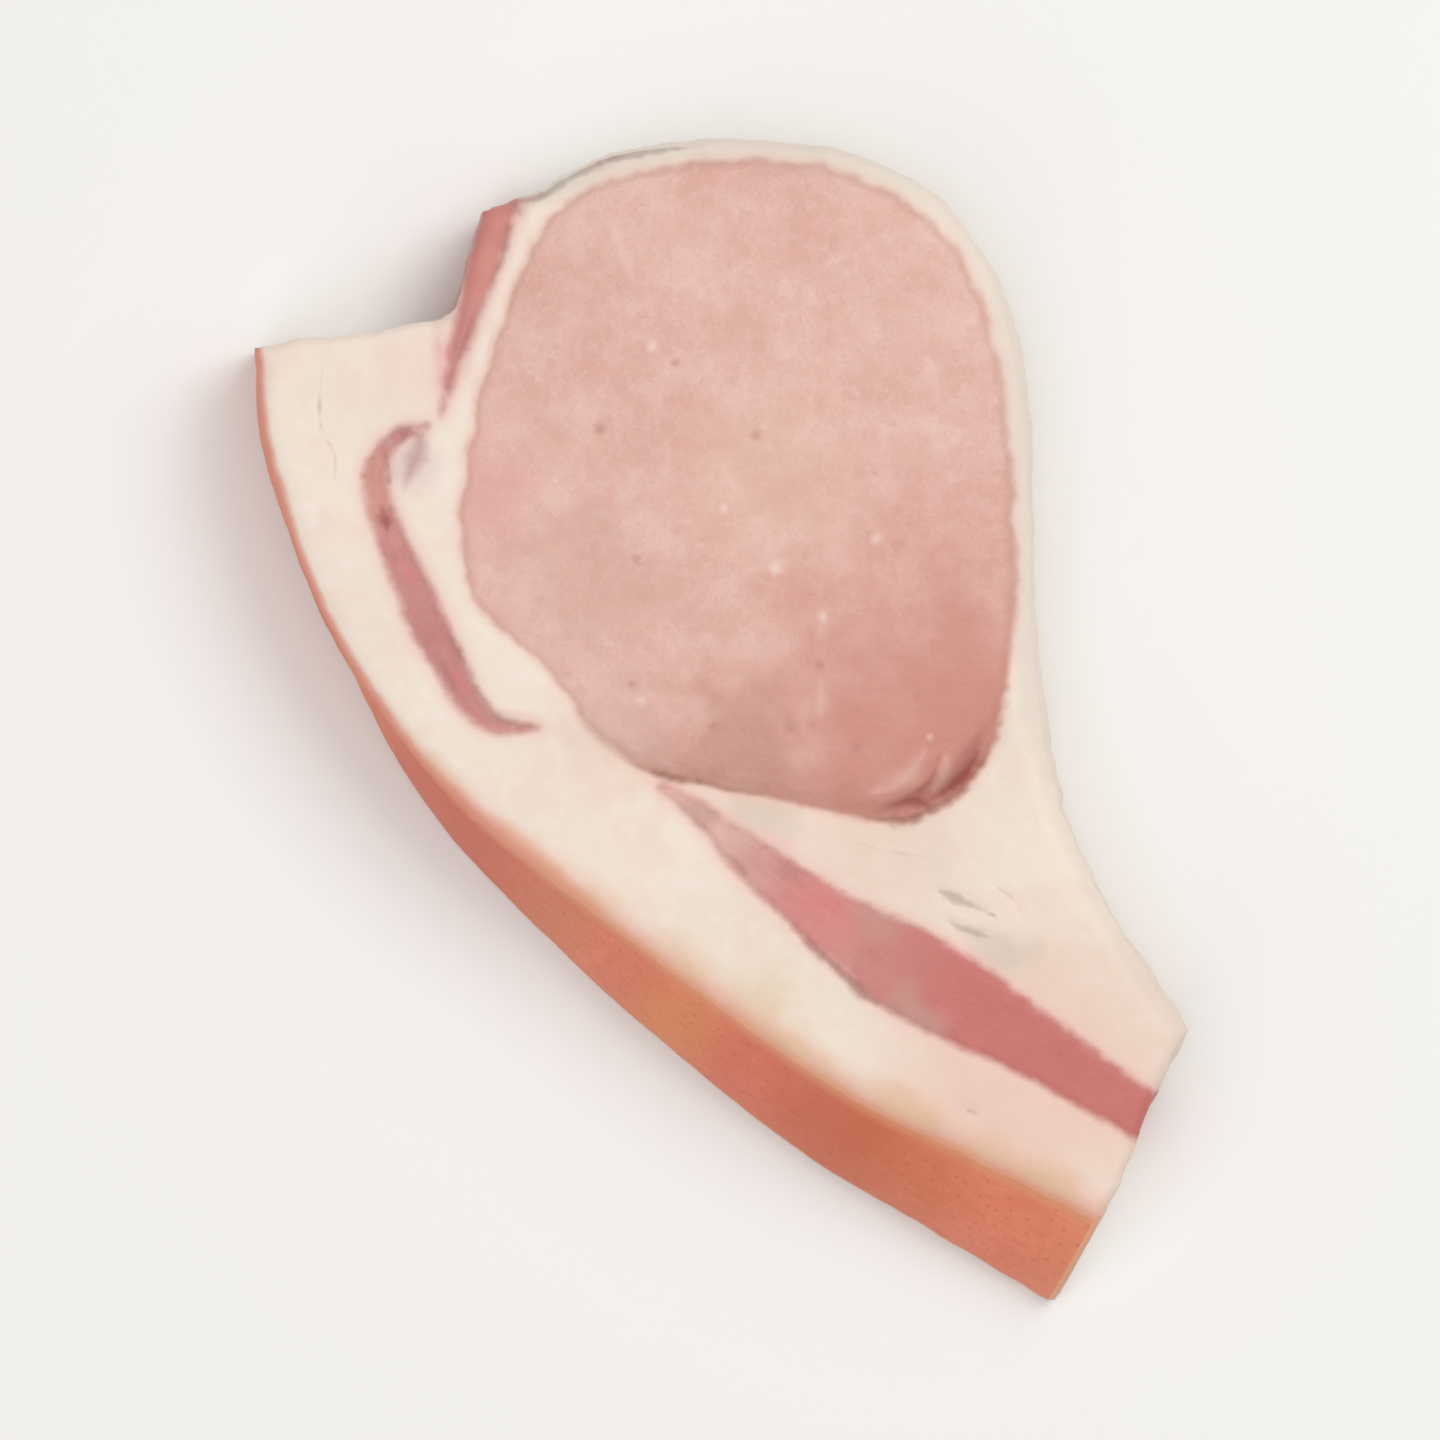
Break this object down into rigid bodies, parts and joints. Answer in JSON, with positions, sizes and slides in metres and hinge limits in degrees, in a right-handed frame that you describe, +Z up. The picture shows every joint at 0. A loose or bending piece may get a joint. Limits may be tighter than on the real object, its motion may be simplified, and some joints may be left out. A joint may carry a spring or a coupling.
{
  "type": "pork chop",
  "caption": "Raw boneless pork loin chop with its rind, fat and tail, one thick slice lying flat on its cut face.",
  "frame": {"origin": "centre of the bounding box at the underside", "axes": "+Z up through the thickness of the slice, +Y up the long way of the eye of meat, +X from the rind side to the loin side"},
  "size_m": [0.1178, 0.1464, 0.0197],
  "materials": {
    "raw_pork": "moist raw lean and fat, soft sheen"
  },
  "bodies": {
    "root": {"pork_chop": "raw_pork"}
  },
  "joints": []
}
